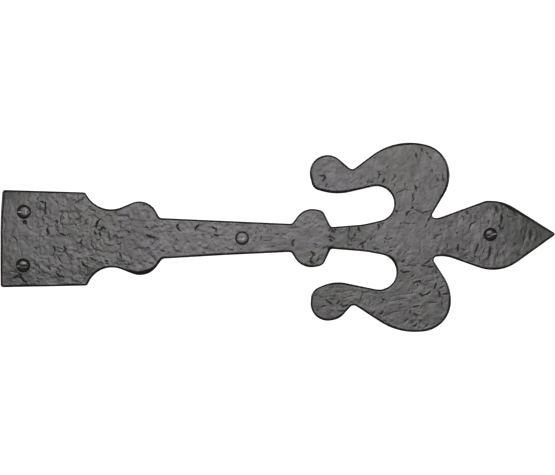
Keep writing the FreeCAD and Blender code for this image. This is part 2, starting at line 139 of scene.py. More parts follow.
# Creases left by the hammer: their kinds, each with its depth and the half-width of its flank, and
# rows of creases of one kind, each crease a chain of places x, z along its bottom.
DEEP = (0.46, 0.32)
PLAIN = (0.25, 0.32)
FAINT = (0.11, 0.36)
BROAD = (0.50, 0.95)
CREASE_ROWS = [
    # Butt end, around the upper screw and along the top.
    (PLAIN, [(27, 30), (26.8, 28)]),
    (DEEP, [(29, 27), (32.5, 26), (33, 24), (32.5, 21), (32, 19.5), (33.5, 17.5)]),
    (FAINT, [(26, 22), (29, 21.2)]),
    (PLAIN, [(61.5, 30), (58, 27.5), (54.2, 25.3)], [(54.2, 24), (54.6, 21.8), (57, 20.3), (59.5, 18.8)],
     [(45.5, 19), (44, 15), (43.5, 12)]), (FAINT, [(36, 13.8), (41, 14.6)]),
    (PLAIN, [(41, 13), (41, 11.2)]),
    (FAINT, [(18.5, 27.6), (21, 27.2)], [(13, 24.5), (12.3, 26.5), (13.5, 28.2)]),
    # Butt end, middle.
    (DEEP, [(33.8, 7), (34.2, 5.2), (35.2, 4.2), (34.5, 2)]), (PLAIN, [(40, 8), (41.5, 6), (43, 3.6)]),
    (DEEP, [(43, 3.6), (45, 2.7), (47.8, 1.4)]), (FAINT, [(48.5, 1), (49.5, -2)]),
    (PLAIN, [(9.2, 0.6), (11, -0.8), (12, -2.2), (11.8, -4)]),
    (FAINT, [(6, -1), (6.2, -2.6)], [(13.8, -6), (15, -10), (15.2, -14)]),
    (PLAIN, [(24.5, -6.7), (26.5, -7.1), (28.2, -7.2)]), (FAINT, [(26, -11.5), (27, -13)]),
    (DEEP, [(38, -5.5), (39.5, -7.3), (39.7, -10)]), (PLAIN, [(40.5, -6.6), (43, -7.4), (45.3, -8.3)]),
    (DEEP, [(46.2, -6.2), (47.4, -7.8), (46, -10.4)]),
    (PLAIN, [(38.5, -11), (38.6, -13)], [(41.5, -12.8), (43.2, -15.5), (44.2, -17.6)]),
    (DEEP, [(43.2, -19.2), (44.2, -20.4), (46.4, -21.5)]),
    (PLAIN, [(32.8, -20.4), (35.2, -21.7), (37, -23.6)]), (FAINT, [(30.5, -25.4), (33, -25.9)]),
    (DEEP, [(40.6, -24.3), (41.8, -26.8), (43, -28.2), (46.4, -28.6)],
     [(59.3, -1), (58.8, -3.6), (60, -6.2)], [(59.3, -17.4), (60.8, -19.8), (64.3, -21.6)]),
    (PLAIN, [(57, -20.6), (58, -21.4)], [(58.3, -24.6), (61, -25.6), (63.5, -27.6), (65.6, -26.8)],
     [(53, 12), (54.4, 10), (56.2, 8.6)]), (FAINT, [(49, 11.2), (50.4, 9.4)], [(46.6, 9.6), (49.6, 9)]),
    (PLAIN, [(57.8, 16.6), (58.4, 13.2)], [(64.2, 14.6), (62.6, 12.6), (62.2, 10.6)]),
    (FAINT, [(60, 13), (61.6, 11.8)], [(62, 24), (62.2, 22.4)]), (PLAIN, [(66, 21), (69.5, 19.6)]),
    (FAINT, [(70.5, 19.4), (72, 17)], [(63.2, 7.4), (63.8, 6.2)], [(63, 5), (65, 2.4)],
     [(64, 16.2), (66.6, 16.8)], [(55.5, -6.5), (58, -7.6)]),
    # The deep blow under the lower screw.
    (BROAD, [(9.6, -29.8), (12.6, -28.4), (15, -29.6), (16.4, -31.2)], [(13.4, -26.8), (14.6, -28.6)]),
    (DEEP, [(15.6, -30.6), (17, -31.6), (19.4, -32.2)]), (FAINT, [(7, -24.6), (10.8, -25.4)]),
    # Shoulder and lobe.
    (DEEP, [(73.4, 14.4), (71, 12), (69.8, 9.4), (70, 6.8)],
     [(71, 6.4), (73.4, 6.2), (75, 7.8), (77.4, 6.4)], [(68.6, 5.4), (69.8, 2.4)],
     [(72.5, 4.2), (73, 1)]),
    (PLAIN, [(79, 4), (79.3, -1)], [(66.5, 0.2), (66.3, -5), (68.4, -8), (72.8, -9.4)]),
    (FAINT, [(73, -9.4), (75.4, -11)], [(71, -12.5), (72.5, -13.4)]),
    (PLAIN, [(65, -13.6), (66.8, -15.8), (70.8, -17)]), (DEEP, [(76.4, -16.2), (78.6, -17.2)]),
    (FAINT, [(72.8, -17.4), (74.2, -18.6)]), (PLAIN, [(87, -11), (87.6, -13.2), (88.6, -15.2)]),
    (FAINT, [(87.2, -3), (87.4, -9)]), (PLAIN, [(85, -18), (86, -19.6)], [(91.4, -21), (93.2, -21.4)]),
    (FAINT, [(81, 5.2), (87, 4.6), (92.5, 5)]),
    (DEEP, [(92.8, 5), (94, 4.2)], [(106.6, 2.6), (107.6, 1.4), (110, 0.9), (113.6, 0)]),
    (PLAIN, [(107.4, -7.4), (108.8, -7.6)]), (FAINT, [(111, -8.8), (117, -8.9)]),
    (PLAIN, [(117, -9), (120, -9.8)]),
    (FAINT, [(104.6, -17), (106.6, -18.4)], [(106, 7.4), (109, 7.5)], [(112.2, 10), (113.6, 6.8)],
     [(96, 12), (94.5, 14)]), (PLAIN, [(106, 24.6), (104, 24)]),
    # Strap.
    (FAINT, [(122, 4.6), (126, 4)]), (DEEP, [(130.6, 10), (129.1, 8.8), (129.7, 6.8), (131.6, 5)]),
    (PLAIN, [(127.8, -0.6), (128.6, -1.6), (130.4, -2)],
     [(126, -6.6), (127.4, -8.4), (128.8, -9.8), (132.6, -10.2)]),
    (FAINT, [(136.6, -10.8), (140, -10.9)]), (DEEP, [(145.2, 9.6), (142.8, 7.6), (142.3, 5.4)]),
    (FAINT, [(148, 4.4), (147.4, 2), (149.6, -0.6)], [(152.6, 9.4), (152, 7)]),
    (DEEP, [(154, 8), (156.4, 7.2), (157.8, 7), (157.5, 4.6)], [(156, 2.4), (158.8, 1.8)]),
    (FAINT, [(154, 4), (154, 0.6), (157, -0.6)], [(155.2, -3), (157.2, -6)]),
    (PLAIN, [(165, -7.4), (167, -8), (170.2, -9)]),
    (FAINT, [(150, -9.6), (160, -9.4)], [(171, -4.8), (176, -8.6)], [(177.4, 9.6), (177.4, 7)],
     [(187, 8), (188.6, 5.6)]), (PLAIN, [(186.6, 4.2), (187.2, 3.6)], [(190.5, 2), (190.6, -1.2)]),
    (FAINT, [(195.2, 6.4), (195, 3.4)], [(198, 6.6), (197.8, 3.2)], [(194, -2.4), (198.6, -1.4)]),
    (PLAIN, [(201.6, 2.2), (203.2, 3)]),
    (FAINT, [(206, 2.8), (209, 2.2)], [(204.6, -0.4), (208, -0.7)], [(193, -7), (200, -6.2)]),
    # Knob.
    (DEEP, [(215.2, -1.2), (213.4, -3), (213.4, -6)]), (FAINT, [(211.4, 6.4), (216, 7.8), (219.6, 6)]),
    (DEEP, [(226.4, -10.2), (229.4, -11.4), (228.6, -13.4)],
     [(228, -13.6), (226.6, -15.6), (227, -18), (229.6, -18.8)]),
    (PLAIN, [(228.6, -4.4), (231.8, -5.6)], [(233.4, -15), (230.6, -18)]),
    (FAINT, [(227.6, 14.6), (226.4, 12.2)], [(231.4, 15.2), (233, 17.6)], [(229.6, 11.6), (230.2, 9.4)],
     [(224, 3.6), (222, 1.4)]),
    # Neck.
    (DEEP, [(240.2, 5.2), (241.4, 6.9), (242.8, 5), (244.6, 3.8)], [(244.2, 7), (244.8, 5.2)],
     [(239, 0.8), (240.8, 1.2), (244.2, -0.6)], [(240.6, -1.2), (242.4, -2.6)]),
    (BROAD, [(238.6, -8), (241.6, -6.8)]), (DEEP, [(255, 7.8), (255, 4.8)]),
    (PLAIN, [(256.2, 7.6), (257.2, 7.9)], [(254.8, 4), (254.6, 0), (256.6, -2.6)]),
    (DEEP, [(261.4, 8.6), (262, 6), (263.6, 5)], [(259.2, 3.4), (258.5, 1.2)]),
    (PLAIN, [(258.2, 0), (257.2, -0.8)]),
    (DEEP, [(267.4, -2), (264.4, -4), (262.4, -5.2)], [(264.4, -4), (264.7, -7.4)]),
    (PLAIN, [(253, -4), (256.4, -5.4)], [(271.6, 0), (270, -1.6)]), (FAINT, [(272.8, 4.4), (272.4, 2)]),
    (PLAIN, [(272.8, -7.8), (276.6, -8.4)]), (DEEP, [(275.4, 9.6), (277, 9), (276.8, 6.8)]),
    (PLAIN, [(277.6, 10.6), (279.8, 10.4)], [(280.8, -0.4), (282.6, -1)], [(283.6, -1), (286.2, -0.4)]),
    (FAINT, [(281, -2.4), (281.2, -4)]),
    (PLAIN, [(284.4, -7.4), (285.4, -6.8)], [(284.4, -9.8), (286.2, -9.4)]),
    (FAINT, [(281.6, -11), (284, -10.6)]),
    # Heart of the fleur-de-lis.
    (DEEP, [(299.2, 19.4), (297.2, 18.4), (296.8, 16)]),
    (FAINT, [(300.6, 17.4), (302.6, 17.6), (302.2, 15.6)]), (DEEP, [(288.6, 20.2), (290.2, 19.2)]),
    (PLAIN, [(290.4, 22.4), (291.6, 22.2)]), (DEEP, [(300.2, 21.6), (302, 22.2)]),
    (PLAIN, [(303, 21), (306, 19.8), (308.6, 18.4), (312, 19), (315.4, 20.2)],
     [(292.6, 11.2), (293, 9.8)], [(295, 11.2), (299, 10.4)]), (FAINT, [(301, 10.6), (304.4, 10.2)]),
    (DEEP, [(314.6, 16.2), (312.6, 12.4)]), (PLAIN, [(311.4, 9.8), (310.6, 7.6)]),
    (FAINT, [(303, 5.6), (306.4, 4.4)], [(313.6, 4.6), (314, 2.2)], [(299, -7.6), (298.2, -9.4)],
     [(296.6, -10), (295.2, -12.2)], [(293, -10.8), (290.6, -13.6)], [(307, -7), (306.8, -10)]),
    (DEEP, [(293.6, -17.8), (295.4, -16.2)]), (FAINT, [(300.8, -17), (303, -16.8)]),
    (DEEP, [(292.4, -24), (295, -25.2), (299.2, -24.8)]),
    (FAINT, [(293, -20.8), (299, -20.2), (304, -20.6)]),
    (DEEP, [(310.4, -18.8), (312.6, -17.4), (314.8, -15)]), (PLAIN, [(307, -20.4), (313, -21)]),
    (DEEP, [(312.8, -21), (316.6, -20.8)]),
    (PLAIN, [(322.6, 2.6), (319.6, 1.8), (317.4, 0.2), (315.2, -1.2)]),
    (FAINT, [(321.6, 8), (322.4, 5.6)]),
    # Upper arm.
    (DEEP, [(234.6, 45.6), (236.8, 45.6), (237.6, 44), (236.4, 42.4), (235.2, 41)]),
    (PLAIN, [(238.8, 39.8), (238, 37.4)]),
    (FAINT, [(235.6, 48.6), (239.4, 48.4)], [(231, 44.8), (234, 45.4)], [(242, 44), (241, 41.6)],
     [(252.4, 46), (251, 40.4)], [(262.4, 47.4), (264.6, 44.4), (262.2, 41)]),
    (PLAIN, [(269.6, 42.2), (268.6, 40.6), (273, 41)],
     [(274.6, 49.4), (277.4, 47.8), (277.2, 45), (275.4, 42.6)]), (DEEP, [(281, 43.6), (279.2, 40.2)]),
    (PLAIN, [(282.4, 51.2), (283.8, 52.2)]), (FAINT, [(281, 47.8), (281.2, 46.2)]),
    (PLAIN, [(287, 47), (289, 45.4), (287, 42.6), (285.4, 41.6)],
     [(289.6, 33), (292, 34), (294.6, 34.9)]), (FAINT, [(295, 35), (301.6, 35)]),
    (DEEP, [(302.6, 38.6), (303.6, 37), (304, 34.8)]),
    (PLAIN, [(301.4, 32), (302.2, 28.4), (300.6, 26.2)], [(295.6, 40.2), (296, 38)],
     [(288.4, 39.6), (288.4, 37.6)]), (FAINT, [(300.4, 47.4), (301.6, 45.4)]),
    (DEEP, [(303.8, 61.8), (304.4, 58.8)]), (FAINT, [(301.6, 65), (303, 62.6)]),
    (DEEP, [(308.4, 65.6), (308, 63.4)]), (FAINT, [(295.6, 67), (297.4, 65)]),
    (PLAIN, [(311, 62), (313.4, 61.4)], [(313.4, 59.4), (315.4, 57.6)], [(318.6, 44), (320.6, 41.2)],
     [(315.2, 49.8), (316.2, 47.4)], [(323.2, 47.4), (323.4, 43.6), (325.4, 40.4)]),
    (FAINT, [(306.4, 37), (308.4, 33.4)], [(308.4, 37.4), (310.8, 32.4)], [(318, 28.8), (318.8, 27.6)],
     [(272, 59.2), (274.4, 57.6)]),
    # Lower arm.
    (FAINT, [(233.4, -43.4), (238, -43.2), (243.4, -42.8)]),
    (DEEP, [(238, -45.2), (240, -47), (242.8, -48.4)]),
    (PLAIN, [(240.4, -44.8), (243, -45.2)], [(250, -43.6), (252, -44)]),
    (DEEP, [(247.8, -46), (246.2, -48.2)], [(248.8, -48.6), (250.6, -50.2), (254, -49.2)]),
    (PLAIN, [(246, -52.6), (249, -54), (251.6, -53.4)], [(231, -52.2), (232.2, -53.2)],
     [(235, -50.4), (238, -49.6)]),
    (FAINT, [(238.4, -51.6), (238.8, -55)], [(241.6, -51.6), (241.2, -55)], [(236, -39.6), (241, -37.6)],
     [(250, -39.6), (256.4, -38.2)], [(254, -42.8), (258.6, -42)]),
    (PLAIN, [(265.2, -39.4), (264.4, -42.6), (263.4, -45.4)], [(270.4, -45.6), (269.4, -48.4)]),
    (DEEP, [(279, -44.4), (280.8, -45.2)], [(276.6, -55.2), (278.6, -55.4), (279.8, -54)],
     [(273.4, -53.4), (272, -56)]),
    (FAINT, [(272, -40.6), (278.6, -41)], [(283, -43.6), (290, -41.6), (297, -40.8), (305, -39.8)],
     [(284, -46.8), (291, -45), (298, -44.4)], [(281, -57), (287, -54), (293, -53.4)]),
    (PLAIN, [(280, -60.2), (283, -61.4)]), (FAINT, [(286.4, -63.8), (288, -61.8)]),
    (DEEP, [(302.4, -33.4), (303.8, -31.6), (306.2, -31.4), (307.4, -33.2)]),
    (PLAIN, [(305, -33), (305.2, -35.2)], [(300, -28.8), (302.8, -27)]),
    (FAINT, [(298.4, -33), (299.6, -30.8)], [(310, -32.2), (316, -30.6)]),
    (DEEP, [(306.4, -40.8), (308.6, -42), (310.6, -41.6)], [(311, -41.6), (313, -40.4), (314.2, -38.6)],
     [(318.6, -33.4), (317.6, -36.8)], [(321, -36.8), (323.6, -35)], [(320.6, -39), (321.4, -43.4)],
     [(323.8, -41.2), (327.4, -40.6)]), (PLAIN, [(322.6, -46.4), (323, -49.4)]),
    (FAINT, [(313.6, -47.8), (319.6, -46.8)]), (PLAIN, [(318.2, -24), (318.6, -26.4)]),
    (FAINT, [(316.4, -28.6), (317, -31)]), (PLAIN, [(291.8, -48.6), (293.2, -48.6)]),
    (FAINT, [(298.8, -46.4), (299.8, -48.6)]), (DEEP, [(301.6, -50.4), (303.6, -49.8), (305.8, -50)]),
    (PLAIN, [(307, -51.6), (308, -50.4)]),
    (DEEP, [(299.8, -53), (299.6, -54.8)], [(302.2, -55.2), (304.6, -56.8)],
     [(301.4, -64.2), (303.4, -64.4), (304.4, -62.8)], [(310.4, -64.8), (312.4, -63)]),
    (PLAIN, [(300.6, -60.4), (301.8, -62.4)], [(295.6, -61.4), (297.4, -60)]),
    (FAINT, [(305, -60), (308, -61.6)]), (PLAIN, [(321.8, -59.4), (323.2, -59.8)]),
    (FAINT, [(292.6, -55.4), (293.8, -53)]),
    # Spear head.
    (DEEP, [(341, 19.2), (341.8, 17.4)]),
    (PLAIN, [(342.6, 7.4), (344.4, 10.2), (347.6, 11.8)], [(337.4, 16.6), (339, 13.6)]),
    (FAINT, [(330.6, 13), (330.2, 8)]),
    (PLAIN, [(346.8, 16.4), (348.8, 13)], [(356.6, 13.4), (357.2, 10.4)]),
    (BROAD, [(362.8, 23), (364.2, 19)]),
    (DEEP, [(366, 17.6), (366.8, 14.4), (366.3, 10.4)], [(364.8, 9.6), (365.6, 7.2), (366.4, 5)],
     [(367.6, 7.2), (365.8, 6.6)]), (FAINT, [(366.4, 5), (367.6, 3)]),
    (PLAIN, [(370.4, 18), (371.4, 16), (374.6, 15.2)]), (BROAD, [(376.4, 19), (378.6, 16.8)]),
    (PLAIN, [(383, 14), (387, 11.4)]),
    (DEEP, [(349.6, -4.4), (348.2, -7.6), (346.8, -11.6)], [(346.8, -12.8), (347.6, -14)],
     [(335, -5), (334.3, -10)]), (PLAIN, [(326.4, -4), (327.2, -6.6)], [(336.6, -8.2), (340.6, -8.6)]),
    (FAINT, [(333.2, 3.7), (333.9, 3.7)], [(337.4, -1), (339.2, -4)], [(338.4, -12.6), (341.8, -13.4)]),
    (PLAIN, [(339.6, -14.8), (341.2, -14.2)], [(343.6, -13.4), (345, -15)]),
    (BROAD, [(358.8, -8), (358, -13.2)]),
    (PLAIN, [(353.8, -8), (352.6, -11.2)], [(350, -14.6), (351, -17.4)]),
    (FAINT, [(362, -4.4), (364.2, -6.4)]),
    (PLAIN, [(368, -3.4), (368.4, -5.2)], [(376, -4), (376.8, -5)]),
    (FAINT, [(370.6, 0.4), (371.8, -2.4)], [(364, -9.4), (363.6, -13)], [(375.4, 5.4), (374.8, 2.8)]),
    (PLAIN, [(381, 6.4), (381.2, 3.4)], [(384.6, 5.4), (383.4, 2.6)]),
    (BROAD, [(388, 6), (388.5, 2.6), (387.6, -0.6)]), (FAINT, [(383.2, 1), (382.4, -4), (383.4, -7.6)]),
    (PLAIN, [(377.6, -11.6), (380.4, -12.6)]),
    (FAINT, [(395, 5.2), (396, 0.6)], [(391.6, 0), (392.6, -2.4)]),
]
# All the creases stand this far further along X than the rows say.
CREASES_ALONG = 0.4
CREASES = []
for kind, *chains in CREASE_ROWS:
    CREASES += [(kind, np.round(np.add(chain, (CREASES_ALONG, 0)), 1)) for chain in chains]
CREASE_SHAKE = 0.22
# The metal that a blow pushed out stands up as a lip on one side of its crease.
LIP_SHARE = 0.45
LIP_PLACE = 2.1
LIP_WIDTH = 1.3
LIP_REACH = 3.2
# Creases beyond this x are wider and shallower than those of the butt and the strap.
SOFT_FROM = 215.0
SOFT_DEPTH = 0.8
SOFT_WIDTH = 1.25

# Broad falls of the face toward an edge: (x, z, reach along x, reach along z, depth).
FALLS = [
    (-2, -2, 8, 60, 0.45), (12, -35, 13, 9, 0.8), (4, 37, 24, 10, 1.1), (68, -30, 8, 8, 0.5),
    (410, 3, 27, 24, 1.6), (378, 25, 13, 7, 0.9), (330, -14, 9, 5, 0.25),
]

# How strongly the face is beaten along the strap: (x, share). The butt's inner part is roughest.
ROUGHNESS = [
    (0, 0.60), (16, 0.75), (26, 1.05), (78, 1.05), (92, 0.95), (118, 0.80), (180, 0.70),
    (205, 0.50), (245, 0.80), (285, 0.55), (330, 0.55), (360, 0.65), (380, 0.50), (405, 0.35),
]

# Where the paint is duller, or glossier for a negative amount:
# (x, z, reach along x, reach along z, amount).
DULL = [
    (5, 32, 16, 8, 1.8), (27, 17, 8, 10, 0.5), (8, -32, 14, 6, 0.6), (98, -2, 11, 14, 0.6),
    (150, 0, 40, 14, -0.4), (239, -48, 13, 12, 0.9), (239, 48, 13, 12, 0.3), (256, 0, 12, 9, 0.6),
    (295, 46, 25, 20, 0.3), (376, 3, 14, 16, 0.5), (398, 3, 14, 10, 1),
]

# Small pits in the casting: (x, z, radius, depth).
PITS = [(18, 11.6, 1.1, 0.9), (41.2, 12, 0.6, 0.25), (334.2, 3.7, 0.6, 0.2)]

# Fields of random hammer dents: (x from, x to, z from, z to, number, length, width, lean in
# degrees, depth). Some dents are lumps.
DENT_SCALE = 0.62
DENT_LEAN_SPREAD = 28.0
LUMP_SHARE = 0.45
DENT_FIELDS = [
    (0, 20, -36, 36, 260, 2, 1.3, 60, 0.11),
    (20, 90, -36, 36, 800, 2, 1.4, 60, 0.155),
    (84, 124, -28, 28, 420, 2, 1.3, 40, 0.135),
    (88, 110, -18, 18, 160, 1.6, 1, 80, 0.13),
    (118, 214, -15, 15, 520, 2, 1.3, 20, 0.12),
    (208, 292, -22, 22, 420, 2, 1.4, 60, 0.11),
    (224, 330, 6, 72, 700, 2.3, 1.8, 70, 0.10),
    (224, 332, -72, -6, 700, 2.3, 1.8, 15, 0.13),
    (318, 380, -26, 30, 420, 2.6, 1.6, 100, 0.15),
    (374, 408, -18, 26, 90, 2.6, 1.6, 80, 0.13),
]
# Fine marks between the creases. Wrinkles wind over the hammered metal, and folds are low curved
# steps where one blow overlaps another. Sizes are (spacing, depth, seed), bend is (amount, spacing,
# seed), and presence is (patch for each spacing, strength, bias).
WRINKLES = {
    "sizes": [(3.4, 0.12, 43), (2.1, 0.09, 44)], "bend": (0.5, 2.0, 41), "presence": (2.6, 1.6, 0.45),
    "profile": lambda wave: np.exp(-((wave / 0.14) ** 2)),
}
FOLDS = {
    "sizes": [(3.0, 0.10, 63), (1.9, 0.06, 64)], "bend": (0.4, 1.8, 61), "presence": (2.2, 1.5, 0.4),
    "profile": lambda wave: np.tanh(wave / 0.13),
}
# The dents run out over this width beside the outline.
CALM_WIDTH = 2.5
# The beaten face is kept this far under the flat front of the frame's plate.
UNDER_FRONT = 0.12
# The face is flat this close to a countersink, and its lip is eased over half of that.
SINK_FLAT = 1.2
SINK_EASE = 0.6


# -------------------- outline of the strap

def lies_on_back(face):
    """Whether a face of the CAD plate is part of its flat back."""
    return abs(face.normal.y) > 0.99 and all(abs(v.co.y) < 1e-5 for v in face.verts)


def back_outline(node):
    """Outer border of a CAD node's flat back, in millimetres (x, z)."""
    bm = bmesh.new()
    bm.from_mesh(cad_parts[node].data)
    bmesh.ops.remove_doubles(bm, verts=bm.verts, dist=1e-6)
    bm.normal_update()
    back = {face for face in bm.faces if lies_on_back(face)}
    beside = {}
    for edge in bm.edges:
        if sum(face in back for face in edge.link_faces) == 1:
            first, second = edge.verts
            beside.setdefault(first, []).append(second)
            beside.setdefault(second, []).append(first)
    # The vertex with the lowest x is on the outer border, and not on a hole.
    chain = [min(beside, key=lambda v: tuple(v.co))]
    onward = beside[chain[0]]
    walked = set(chain)
    while onward:
        chain.append(onward[0])
        walked.add(onward[0])
        onward = [v for v in beside[chain[-1]] if v not in walked]
    loop = np.array([(v.co.x / MM, v.co.z / MM) for v in chain])
    bm.free()
    return loop


def turned_left(loop):
    """The loop, walked so that its inside is on the left."""
    following = np.roll(loop, -1, axis=0)
    area = (loop[:, 0] * following[:, 1] - following[:, 0] * loop[:, 1]).sum()
    return loop if area > 0 else loop[::-1]


def even_loop(loop, step):
    """The closed loop with points spaced evenly, about one step apart."""
    closed = np.vstack([loop, loop[:1]])
    lengths = np.hypot(*np.diff(closed, axis=0).T)
    along = np.concatenate([[0.0], np.cumsum(lengths)])
    count = int(round(along[-1] / step))
    places = np.arange(count) * along[-1] / count
    return np.stack([np.interp(places, along, closed[:, i]) for i in (0, 1)], axis=1)


def eased_loop(loop, passes):
    """The closed loop with each point drawn toward its neighbours, which rounds off small facets."""
    for _ in range(passes):
        loop = (np.roll(loop, 1, axis=0) + 2 * loop + np.roll(loop, -1, axis=0)) / 4
    return loop


def inward(loop):
    """Unit normals of a loop that point into the metal."""
    tangent = np.roll(loop, -1, axis=0) - np.roll(loop, 1, axis=0)
    tangent /= np.hypot(*tangent.T)[:, None]
    return np.stack([-tangent[:, 1], tangent[:, 0]], axis=1)


class Border:
    """Signed distance from points to the strap's outline, positive inside the metal."""

    def __init__(self, loop):
        self.loop = loop
        self.normals = inward(loop)
        self.tree = KDTree(len(loop))
        for i, (x, z) in enumerate(loop):
            self.tree.insert((x, z, 0.0), i)
        self.tree.balance()

    def distance(self, points):
        nearest = np.array([self.tree.find((x, z, 0.0))[1] for x, z in points])
        away = points - self.loop[nearest]
        return np.einsum("ij,ij->i", away, self.normals[nearest])


# -------------------- relief of the beaten face

def within(values):
    """The values, kept from 0 to 1."""
    return np.clip(values, 0.0, 1.0)


def eased(share):
    """A share from 0 to 1 that starts and ends gently."""
    return share * share * (3 - 2 * share)


def hill(points, x, z, long, high):
    """A smooth hill of height 1 around a place, with its own reach along each axis."""
    return np.exp(-(((points[:, 0] - x) / long) ** 2 + ((points[:, 1] - z) / high) ** 2))


def distance_to(points, place):
    return np.hypot(points[:, 0] - place[0], points[:, 1] - place[1])


def smooth_noise(points, spacing, seed):
    """Smooth random heights between about -1 and 1, with hills about one spacing apart."""
    source = np.random.default_rng(seed)
    columns, rows = 1024, 256
    grid = source.uniform(-1.0, 1.0, (columns, rows))
    u = (points[:, 0] - PLATE_LOW[0]) / spacing + 4
    v = (points[:, 1] - PLATE_LOW[2]) / spacing + 4
    i, j = np.floor(u).astype(int) % (columns - 1), np.floor(v).astype(int) % (rows - 1)
    s, t = eased(u - np.floor(u)), eased(v - np.floor(v))
    low = grid[i, j] * (1 - s) + grid[i + 1, j] * s
    high = grid[i, j + 1] * (1 - s) + grid[i + 1, j + 1] * s
    return low * (1 - t) + high * t


def shaken(points, amount, spacing, seed):
    """The points, each moved a little at random, smoothly over the face."""
    shake = np.stack([smooth_noise(points, spacing, seed), smooth_noise(points, spacing, seed + 1)], axis=1)
    return points + amount * shake


def chain_place(points, chain):
    """Distance from each point to a chain of straight pieces, its side, and how far along it lies."""
    best, side, along = np.zeros((3, len(points)))
    best += np.inf
    spans = np.diff(chain, axis=0)
    lengths = np.hypot(*spans.T)
    walked = 0.0
    for start, span, length in zip(chain, spans, lengths):
        from_start = points - start
        share = within(from_start @ span / length ** 2)
        away = np.hypot(*(from_start - share[:, None] * span).T)
        closer = away < best
        best[closer] = away[closer]
        side[closer] = (span[0] * from_start[:, 1] - span[1] * from_start[:, 0])[closer] / length
        along[closer] = ((walked + share * length) / lengths.sum())[closer]
        walked += length
    return best, side, along


def crease_depth(points):
    """How deep each point lies in the hammer's creases, and how much of a crease it is, which the paint
    darkens as painted shade and makes rougher.
    """
    depth, share, lip = np.zeros((3, len(points)))
    moved = shaken(points, CREASE_SHAKE, 1.5, 31)
    source = random.Random(11)
    for (deepest, flank), chain in CREASES:
        if chain[0, 0] > SOFT_FROM:
            deepest *= SOFT_DEPTH
            flank *= SOFT_WIDTH
        low, high = chain.min(axis=0) - 5 * flank, chain.max(axis=0) + 5 * flank
        inside = np.nonzero(np.all((points > low) & (points < high), axis=1))[0]
        away, side, along = chain_place(moved[inside], chain)
        # A crease is deepest near its middle and dies out at its ends.
        taper = 0.45 + 0.55 * np.sin(math.pi * within(along)) ** 0.6
        profile = taper * np.exp(-((away / (flank * (0.55 + 0.45 * taper))) ** 2))
        depth[inside] = np.maximum(depth[inside], deepest * profile)
        share[inside] = np.maximum(share[inside], (deepest / DEEP[0]) ** 1.6 * profile ** 1.5)
        pushed = source.choice((-1.0, 1.0)) * side
        ridge = np.exp(-(((pushed - LIP_PLACE * flank) / (LIP_WIDTH * flank)) ** 2))
        ridge *= np.exp(-((away / (LIP_REACH * flank)) ** 4))
        lip[inside] = np.maximum(lip[inside], LIP_SHARE * deepest * taper * ridge)
    return depth - lip, share


def dent_height(points):
    """Sum of small random dents and lumps, in fields that differ along the strap."""
    height = np.zeros(len(points))
    source = random.Random(7)
    order = np.argsort(points[:, 0])
    xs = points[order, 0]
    for x0, x1, z0, z1, number, length, width, lean, depth in DENT_FIELDS:
        for _ in range(number):
            x, z = source.uniform(x0, x1), source.uniform(z0, z1)
            angle = math.radians(lean + source.gauss(0.0, DENT_LEAN_SPREAD))
            long, wide = length * source.uniform(0.5, 1.5), width * source.uniform(0.5, 1.4)
            amount = DENT_SCALE * depth * source.uniform(0.3, 1.0)
            if source.random() >= LUMP_SHARE:
                amount = -amount
            reach = 2.2 * max(long, wide)
            first, last = np.searchsorted(xs, (x - reach, x + reach))
            some = order[first:last]
            dx, dz = points[some, 0] - x, points[some, 1] - z
            along = (dx * math.cos(angle) + dz * math.sin(angle)) / long
            across = (dz * math.cos(angle) - dx * math.sin(angle)) / wide
            height[some] += amount * np.exp(-1.5 * (along ** 2 + across ** 2))
    return height


def fine_marks(points, sizes, bend, presence, profile):
    """Fine winding marks of several sizes, here and there on the face."""
    patch, strength, bias = presence
    total = np.zeros(len(points))
    for spacing, depth, seed in sizes:
        wave = smooth_noise(shaken(points, *bend), spacing, seed)
        present = within(strength * smooth_noise(points, patch * spacing, seed + 10) + bias)
        total += depth * present * profile(wave)
    return total


def beaten_depth(points, from_edge):
    """Depth of the beaten face without its rim and holes, and the crease mask that the paint darkens as
    painted shade.
    """
    depth, crease = crease_depth(points)
    calm = within(from_edge / CALM_WIDTH)
    relief = depth - dent_height(points) * (0.35 + 0.65 * calm)
    relief += 0.03 * smooth_noise(points, 14.0, 5) + 0.014 * smooth_noise(points, 1.3, 9)
    rough = np.interp(points[:, 0], *zip(*ROUGHNESS))
    relief += fine_marks(points, **WRINKLES) * rough * calm
    relief += fine_marks(points, **FOLDS) * rough ** 2 * calm
    for x, z, long, high, deepest in FALLS:
        relief += deepest * hill(points, x, z, long, high)
    for x, z, radius, deepest in PITS:
        pit = np.exp(-((distance_to(points, (x, z)) / radius) ** 4))
        relief += deepest * pit
        # A pit is also darkened in the paint, as painted shade, through the crease mask.
        crease = np.maximum(crease, pit)
    return relief + UNDER_FRONT, crease


def with_rim(relief, points, from_edge):
    """The relief with the rounded front edge, and a thin bead here and there just inside it."""
    width = RIM_WIDTH + RIM_WAVER * smooth_noise(points, 9.0, 3)
    for x, z, extra, reach in RIM_WIDER:
        width += extra * hill(points, x, z, reach, reach)
    # A rounded shoulder that ends as a steep, short wall.
    round_off = np.minimum(RIM_DROP * width, RIM_DROP_MOST) * within(1 - from_edge / width) ** RIM_CURVE
    bead = np.exp(-(((from_edge - width - 0.45) / 0.38) ** 2))
    bead *= within(smooth_noise(points, 6.0, 17) + 0.25)
    return np.maximum(relief - BEAD_HEIGHT * bead, 0.0) + round_off


def with_sinks(relief, points):
    """The relief with the countersink of each screw hole."""
    for name, centre in SCREW_CENTRES.items():
        sink = SCREWS[name]["sink"] - distance_to(points, centre)
        soft = np.where(sink > -SINK_EASE, (sink + SINK_EASE) ** 2 / (4 * SINK_EASE), 0.0)
        cone = np.where(sink > SINK_EASE, sink, soft)
        flat = within(-sink / SINK_FLAT)
        relief = np.where(sink > -SINK_FLAT, relief * flat + cone + UNDER_FRONT * (1 - flat), relief)
    return relief


